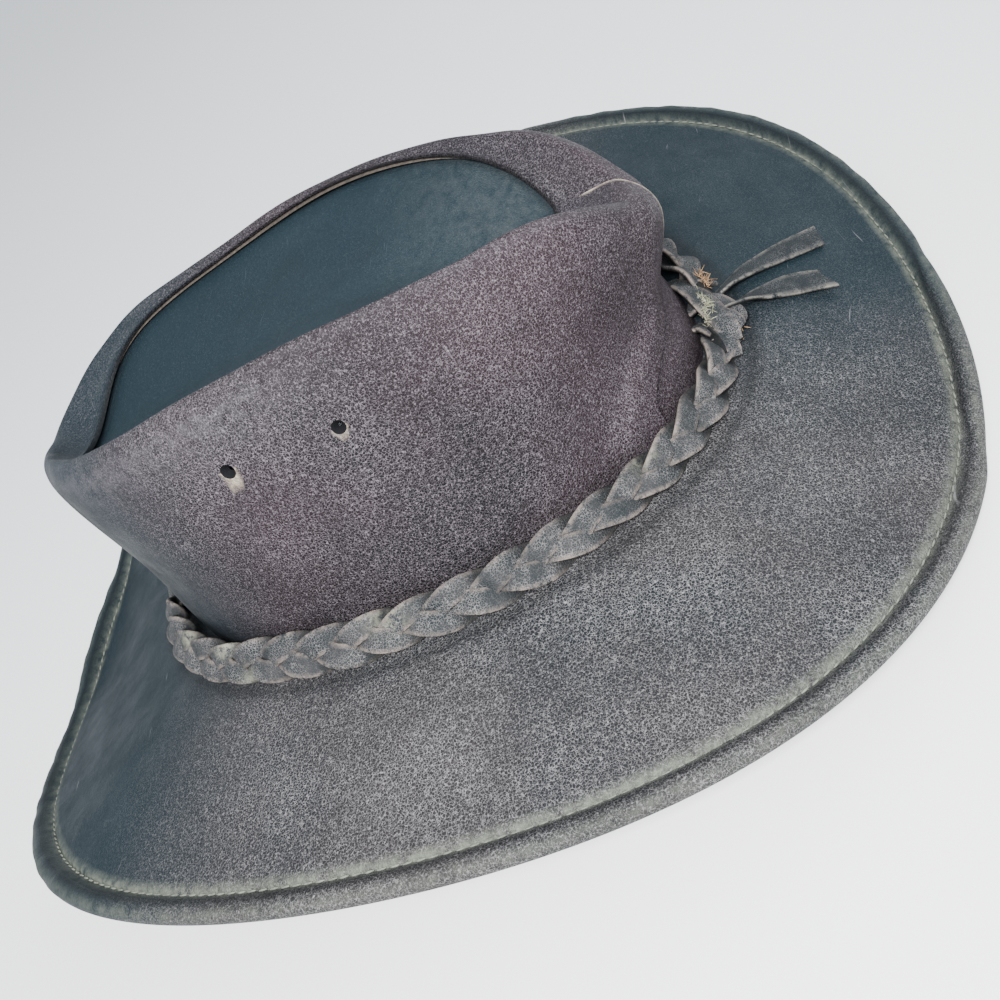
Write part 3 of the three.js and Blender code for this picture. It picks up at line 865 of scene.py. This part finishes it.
def make_top():
    piece = cut_strip("crown_top_panel", TOP_COLUMNS, TOP_ROWS)
    along, share = stock_places(piece)
    angle = along * TURN
    under = -(LEATHER + SEAM_GAP)
    level = CROWN_HEIGHT * STATIONS[:, STATION_COLUMNS.index("top")].mean() + under
    rim = wall_point(angle, np.ones_like(angle), np.full_like(angle, under))
    centre = np.array([0.0, TOP_SHIFT, 0.0])
    reach = np.clip(share / TOP_SHOWN, 0, 1)
    dish = centre + (rim - centre) * reach[:, None]
    dish[:, 2] = level + (rim[:, 2] - level) * reach ** TOP_CURVE - TOP_DISH * (1 - reach ** 2)
    fold = wall_face(angle, np.ones_like(angle)) - wall_face(angle, np.full_like(angle, 1 - FOLD_SAMPLE))
    fold_length = np.linalg.norm(fold, axis=1) / FOLD_SAMPLE
    lap = 1 - TOP_LAP * np.clip((share - TOP_SHOWN) / (1 - TOP_SHOWN), 0, 1) / fold_length
    tucked = wall_point(angle, lap, np.full_like(angle, under))
    points = np.where((share > TOP_SHOWN)[:, None], tucked, dish)
    x, y = points[:, 0], points[:, 1]
    waves = 0.5 * np.sin(x / 17 + y / 29 + 0.6) + 0.35 * np.sin(x / 9 - y / 13 + 2.0)
    waves = waves + 0.2 * np.sin(x / 6 + y / 7)
    points[:, 2] += (waves - 0.6) * smoothstep((0.9 - share) / 0.25)
    form(piece, points)
    edge = np.exp(-((share - TOP_SHOWN) / 0.02) ** 2)
    # Paler towards the back of the panel.
    paint(piece, "worn", 0.16 * smoothstep((y - 10) / 60))
    # Painted shade where the panel runs under the wall's folded edge.
    paint(piece, "painted_shade", 0.55 * edge)
    # Painted shade: the teal tint over the whole sunken panel.
    paint(piece, "shaded_teal", np.full_like(share, 0.35))
    join_ends(piece)
    face_outwards(piece)
    if piece.data.polygons[0].normal.z < 0:
        edit_mesh(piece, bpy.ops.mesh.flip_normals)
    piece.data.materials.append(top_finish)
    piece.data.materials.append(flesh_finish)
    work(piece, "SOLIDIFY", thickness=LEATHER * MM, offset=-1, material_offset=1, material_offset_rim=1)
    smooth(piece, 50)
    hand_over(piece, "top_leather", "crown_top")


# Braided band

STRAPS = 3
PLAITS = 14
BRAID_FROM = 104.0
BRAID_TO = 446.0
# Where the plait is rubbed bare: bearing, and which side of its middle, in millimetres.
RUBBED = [(-43.0, 4.0), (-28.0, 5.0), (3.2, 5.0), (5.5, 3.0), (50.0, 5.5), (-22.0, -5.5)]
RUBBED_SIZE = 3.2
PLAIT_STEPS = 26
STRAP_WIDTH = 6.9
STRAP_THICKNESS = 1.7
PLAIT_SWING = 3.15
PLAIT_RISE = 1.8
# across: share of half the strap's width. lift: share of half its thickness. The third column: how raw it is.
STRAP_SECTION = [
    {"across": -1.0, "lift": -0.5, "worn": 1.0},
    {"across": -1.0, "lift": 0.45, "worn": 1.0},
    {"across": -0.9, "lift": 0.92, "worn": 0.55},
    {"across": -0.55, "lift": 1.0, "worn": 0.0},
    {"across": 0.0, "lift": 1.06, "worn": 0.0},
    {"across": 0.55, "lift": 1.0, "worn": 0.0},
    {"across": 0.9, "lift": 0.92, "worn": 0.55},
    {"across": 1.0, "lift": 0.45, "worn": 1.0},
    {"across": 1.0, "lift": -0.5, "worn": 1.0},
    {"across": 0.9, "lift": -1.0, "worn": 0.8},
    {"across": 0.0, "lift": -1.0, "worn": 0.4},
    {"across": -0.9, "lift": -1.0, "worn": 0.8},
]


def sweep(name, path, side, face, width, thickness, finish, worn_scale=1.0, sunk_shade=None):
    """A flat strap along a path: the strip is wrapped round the strap's section, and its ends are closed."""
    corners = len(STRAP_SECTION)
    sections = len(path)
    piece = cut_strip(name, sections - 1, corners)
    along, around_it = stock_places(piece)
    step = np.rint(along * (sections - 1)).astype(int)
    corner = np.rint(around_it * corners).astype(int) % corners
    across = np.array([c["across"] for c in STRAP_SECTION])[corner]
    lift = np.array([c["lift"] for c in STRAP_SECTION])[corner]
    worn = np.array([c["worn"] for c in STRAP_SECTION])[corner]
    width = np.broadcast_to(width, sections)[step]
    thickness = np.broadcast_to(thickness, sections)[step]
    points = path[step] + side[step] * (across * width / 2)[:, None]
    form(piece, points + face[step] * (lift * thickness / 2)[:, None])
    paint(piece, "worn", worn * worn_scale)
    sunk_shade = np.zeros(sections) if sunk_shade is None else sunk_shade
    # Painted shade: the strap's underside, and each stretch where it dips under others, are drawn dark.
    paint(piece, "painted_shade", np.where(lift < 0, 0.95, 0.0) + sunk_shade[step])
    join_ends(piece, 0.001)
    edit_mesh(piece, bpy.ops.mesh.fill_holes, sides=corners + 1)
    face_outwards(piece)
    piece.data.materials.append(finish)
    smooth(piece, 48)
    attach(piece, "root")
    return piece


def make_braid():
    chance = random.Random(7)
    steps = PLAITS * PLAIT_STEPS + 1
    bearing = np.linspace(BRAID_FROM, BRAID_TO, steps)
    angle = np.radians(bearing)
    middle, across, face, along = band_frame(angle)
    length = np.concatenate([[0], np.cumsum(np.linalg.norm(np.diff(middle, axis=0), axis=1))])
    turns = length / length[-1] * PLAITS * TURN
    for index in range(STRAPS):
        phase = turns + index * TURN / STRAPS
        swing = PLAIT_SWING * np.sin(phase)
        rise = PLAIT_RISE * np.sin(2 * phase)
        wander = 0.35 * np.sin(turns * 0.37 + chance.uniform(0, TURN))
        wander = wander + 0.25 * np.sin(turns * 0.83 + chance.uniform(0, TURN))
        path = middle + across * (swing + wander)[:, None] + face * rise[:, None]
        run = unit(np.gradient(path, axis=0))
        side = unit(np.cross(face, run))
        tilt = 0.2 * np.cos(phase)
        top = unit(np.cross(run, side))
        leaning = unit(side * np.cos(tilt)[:, None] + top * np.sin(tilt)[:, None])
        width = STRAP_WIDTH * (1 + 0.06 * np.sin(turns * 0.61 + index))
        # Painted shade where this strap dips under the others.
        sunk_shade = 0.85 * smoothstep(0.1 - np.sin(2 * phase))
        strap = sweep(f"braid_strap_{index + 1}", path, leaning, unit(np.cross(run, leaning)), width,
                      STRAP_THICKNESS, strap_finish, sunk_shade=sunk_shade)
        places = piece_places(strap)
        bare = np.zeros(len(places))
        for spot, side_of in RUBBED:
            core, wide, up, _ = (v[0] for v in band_frame(np.array([math.radians(spot)])))
            apart = np.linalg.norm(places - (core + wide * side_of + up * 2), axis=1)
            bare = np.maximum(bare, np.exp(-(apart / RUBBED_SIZE) ** 2))
        paint(strap, "raw", bare)
    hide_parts("braided_band")


# Lashing and lace tails

# Places on the straps' middle lines, in the laces' columns.
KNOT_WRAP = [
    {"bearing": 109.0, "across": -0.005, "lift": 3.2, "roll": -22, "width": 0.75},
    {"bearing": 104.0, "across": 0.008, "lift": 5.2, "roll": -22, "width": 1.0},
    {"bearing": 97.5, "across": 0.032, "lift": 6.5, "roll": -12, "width": 1.1},
    {"bearing": 91.5, "across": 0.064, "lift": 6.3, "roll": 0, "width": 1.05},
    {"bearing": 87.6, "across": 0.098, "lift": 5.4, "roll": 10, "width": 0.95},
    {"bearing": 85.0, "across": 0.126, "lift": 3.4, "roll": 20, "width": 0.6},
]
KNOT_LOOP = [
    {"bearing": 98.5, "across": -0.012, "lift": 1.5, "roll": -10, "width": 0.8},
    {"bearing": 97.5, "across": 0.03, "lift": 4.8, "roll": 0, "width": 1.0},
    {"bearing": 95.3, "across": 0.085, "lift": 5.6, "roll": 0, "width": 1.1},
    {"bearing": 93.3, "across": 0.135, "lift": 3.4, "roll": 0, "width": 1.1},
    {"bearing": 92.0, "across": 0.15, "lift": 0.4, "roll": 0, "width": 0.9},
]
KNOT_END_HIGH = [
    {"bearing": 94.0, "across": 0.05, "lift": 4.6, "roll": 0, "width": 0.9},
    {"bearing": 91.4, "across": 0.1, "lift": 5.4, "roll": 8, "width": 1.0},
    {"bearing": 90.2, "across": 0.138, "lift": 4.5, "roll": 18, "width": 0.85},
    {"bearing": 89.6, "across": 0.158, "lift": 3.0, "roll": 24, "width": 0.5},
]
KNOT_END_LOW = [
    {"bearing": 90.0, "across": 0.045, "lift": 4.4, "roll": 0, "width": 0.8},
    {"bearing": 86.6, "across": 0.078, "lift": 4.6, "roll": -4, "width": 1.0},
    {"bearing": 83.8, "across": 0.104, "lift": 3.6, "roll": -8, "width": 1.0},
    {"bearing": 82.0, "across": 0.124, "lift": 1.6, "roll": -8, "width": 0.7},
]
KNOT_TUCK = [
    {"bearing": 93.0, "across": -0.02, "lift": 1.4, "roll": -26, "width": 0.7},
    {"bearing": 90.0, "across": 0.012, "lift": 3.6, "roll": -18, "width": 0.9},
    {"bearing": 87.0, "across": 0.05, "lift": 4.6, "roll": -6, "width": 0.9},
]
KNOT_STRAP = 7.6
KNOT_STRAP_THICKNESS = 1.6


def curve_through(values, share):
    """One column of a route, read smoothly at each share of the way along it."""
    knots = [np.stack([np.full_like(share, value), np.full_like(share, stop), np.zeros_like(share)], -1)
             for stop, value in enumerate(values)]
    return spline_point(np.stack(knots), share)[:, 0]


def lay_strap(name, route, width, thickness, finish, worn_scale=1.0, count=36):
    """A strap along a route of places over the brim. Returns the piece, its path and its directions."""
    share = np.linspace(0, 1, count)
    column = {key: curve_through([stop[key] for stop in route], share) for key in route[0]}
    angle = np.radians(column["bearing"])
    lift = LEATHER + LACE_GAP + thickness / 2 + np.maximum(column["lift"], 0)
    path = brim_point(angle, column["across"], lift)
    up = -normal_of(brim_underside, angle, column["across"])
    run = unit(np.gradient(path, axis=0))
    side = unit(np.cross(up, run))
    top = unit(np.cross(run, side))
    roll = np.radians(column["roll"])
    leaning = side * np.cos(roll)[:, None] + top * np.sin(roll)[:, None]
    span = width * column["width"] * (1 + 0.03 * np.sin(share * 17))
    face = unit(np.cross(run, leaning))
    piece = sweep(name, path, leaning, face, span, thickness, finish, worn_scale)
    return piece, path, run, leaning


def make_knot():
    core = np.radians(np.linspace(81, 106, 40))
    middle, across, face, along = band_frame(core)
    share = np.linspace(-1, 1, len(core))
    for index, phase in enumerate((0.4, 0.4 + math.pi)):
        twist = phase + share * 3.3
        path = middle + across * (2.0 * np.sin(twist))[:, None]
        path = path + face * (1.3 * np.cos(twist) - 0.8)[:, None]
        run = unit(np.gradient(path, axis=0))
        outward = unit(across * np.sin(twist)[:, None] + face * np.cos(twist)[:, None])
        side = unit(np.cross(run, outward))
        sweep(f"knot_bundle_{index + 1}", path, side, unit(np.cross(run, side)), 6.0, 2.0,
                            strap_finish, 0.6)
    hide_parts("band_knot")
    for name, route, width in (
        ("knot_wrap", KNOT_WRAP, KNOT_STRAP),
        ("knot_loop", KNOT_LOOP, KNOT_STRAP),
        ("knot_end_high", KNOT_END_HIGH, 5.6),
        ("knot_end_low", KNOT_END_LOW, 6.2),
        ("knot_tuck", KNOT_TUCK, 5.4),
    ):
        lay_strap(name, route, width, KNOT_STRAP_THICKNESS, strap_finish, 0.9)


FRAY_TUFTS = [
    {"bearing": 102.5, "across": 1.0, "face": 4.6, "count": 44, "length": 3.4, "tan": True},
    {"bearing": 94.5, "across": 4.5, "face": 4.4, "count": 60, "length": 2.8, "tan": False},
    {"bearing": 90.0, "across": 5.0, "face": 3.4, "count": 36, "length": 2.6, "tan": False},
    {"bearing": 89.5, "across": -6.0, "face": 4.0, "count": 30, "length": 2.4, "tan": True},
]
FIBRE_SIZE = 0.12


def make_fray():
    """Short bent fibres of torn leather where the lashing shows wear."""
    chance = random.Random(21)
    for number, tuft in enumerate(FRAY_TUFTS):
        points, cells = [], []
        for _ in range(tuft["count"]):
            bearing = tuft["bearing"] + chance.gauss(0, 1.4)
            middle, across, face, along = (v[0] for v in band_frame(np.array([math.radians(bearing)])))
            root = middle + across * (tuft["across"] + chance.gauss(0, 1.1)) + face * (tuft["face"] - 0.8)
            aim = face * chance.uniform(0.2, 0.9) + across * chance.gauss(0, 0.7)
            aim = unit(aim + along * chance.gauss(0, 0.9))
            curl = unit(np.cross(aim, face) + along * chance.gauss(0, 0.5)) * chance.uniform(-0.5, 0.5)
            length = tuft["length"] * chance.uniform(0.4, 1.0)
            size = FIBRE_SIZE * chance.uniform(0.6, 1.3)
            spine = [root + aim * length * t + curl * length * t * t for t in (0, 0.35, 0.7, 1.0)]
            side = unit(np.cross(aim, curl + 1e-3))
            over = np.cross(side, aim)
            start = len(points)
            for place, share in zip(spine, (1.0, 0.9, 0.7, 0.3)):
                radius = size * share
                points += [place + side * radius, place + over * radius, place - (side + over) * radius * 0.7]
            for level in range(3):
                for corner in range(3):
                    a = start + level * 3 + corner
                    b = start + level * 3 + (corner + 1) % 3
                    cells.append((a, b, b + 3, a + 3))
            cells += [(start, start + 2, start + 1), (start + 9, start + 10, start + 11)]
        mesh = bpy.data.meshes.new(f"knot_fray_{number + 1}")
        mesh.from_pydata((np.array(points) * MM).tolist(), [], cells)
        piece = bpy.data.objects.new(f"knot_fray_{number + 1}", mesh)
        bpy.context.scene.collection.objects.link(piece)
        piece.data.materials.append(fray_finish if tuft["tan"] else moss_finish)
        face_outwards(piece)
        hand_over(piece, "knot_leather")


def make_lace(name, route, node, slant):
    piece, path, run, leaning = lay_strap(
        name, route, LACE_WIDTH, LACE_THICKNESS * 0.75, lace_finish, 0.9, 48)
    end, tip, across_end = path[-1] * MM, run[-1], leaning[-1]
    for vertex in piece.data.vertices:
        offset = np.array(vertex.co) - end
        if np.linalg.norm(offset - across_end * (offset @ across_end)) < 1.2 * MM:
            vertex.co += Vector(tip * (offset @ across_end) * slant)
    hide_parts(node)


# Camera, light and floor

CAMERA_PLACE = Vector((228.185, 147.122, 222.622)) * MM
CAMERA_RIGHT = Vector((0.05740, 0.90489, -0.42176))
CAMERA_UP = Vector((-0.75846, 0.31423, 0.57097))
FOCAL_SHARE = 0.93936
SENSOR = 36.0
PRINCIPAL = (609.24, 487.47)
IMAGE = 1000.0


def set_camera():
    data = bpy.data.cameras.new("camera")
    data.sensor_width = SENSOR
    data.lens = FOCAL_SHARE * SENSOR
    data.shift_x = -(PRINCIPAL[0] - IMAGE / 2) / IMAGE
    data.shift_y = (PRINCIPAL[1] - IMAGE / 2) / IMAGE
    data.clip_start = 0.01
    camera = bpy.data.objects.new("camera", data)
    right = CAMERA_RIGHT.normalized()
    up = (CAMERA_UP - right * CAMERA_UP.dot(right)).normalized()
    back = right.cross(up)
    turn = Matrix((right, up, back)).transposed().to_4x4()
    camera.matrix_world = Matrix.Translation(CAMERA_PLACE) @ turn
    bpy.context.scene.collection.objects.link(camera)
    bpy.context.scene.camera = camera


def set_light(name, place, aim, size, power, colour):
    data = bpy.data.lights.new(name, "AREA")
    data.size = size
    data.energy = power
    data.color = colour
    light = bpy.data.objects.new(name, data)
    light.location = place
    light.rotation_euler = (Vector(aim) - Vector(place)).to_track_quat("-Z", "Y").to_euler()
    bpy.context.scene.collection.objects.link(light)


def set_stage():
    plain_selection()
    bpy.ops.mesh.primitive_plane_add(size=8.0)
    floor = bpy.context.object
    floor.name = "floor"
    paper = bpy.data.materials.new("pale floor")
    paper.use_nodes = True
    paper.node_tree.nodes["Principled BSDF"].inputs["Base Color"].default_value = (0.86, 0.86, 0.86, 1)
    paper.node_tree.nodes["Principled BSDF"].inputs["Roughness"].default_value = 0.9
    floor.data.materials.append(paper)
    world = bpy.data.worlds.new("studio")
    world.use_nodes = True
    world.node_tree.nodes["Background"].inputs["Color"].default_value = (0.86, 0.93, 1.0, 1)
    world.node_tree.nodes["Background"].inputs["Strength"].default_value = 1.2
    bpy.context.scene.world = world
    set_light("key", place=(0.50, 0.14, 0.64), aim=(0, 0, 0.05), size=0.24, power=11.0,
              colour=(1.0, 0.985, 0.97))
    set_light("near the camera", place=(0.30, 0.16, 0.34), aim=(0, 0.02, 0.06), size=0.1, power=3.2,
              colour=(0.97, 0.99, 1.0))
    set_light("fill", place=(-0.7, 0.5, 0.6), aim=(0, 0, 0.05), size=0.8, power=5.0,
              colour=(0.9, 0.96, 1.0))


set_camera()
set_stage()
make_brim()
make_stitches()
make_wall()
make_top()
make_braid()
make_knot()
make_fray()
make_lace("lace_upper", LACE_UPPER, "lace_tail_upper", 0.15)
make_lace("lace_lower", LACE_LOWER, "lace_tail_lower", -0.7)
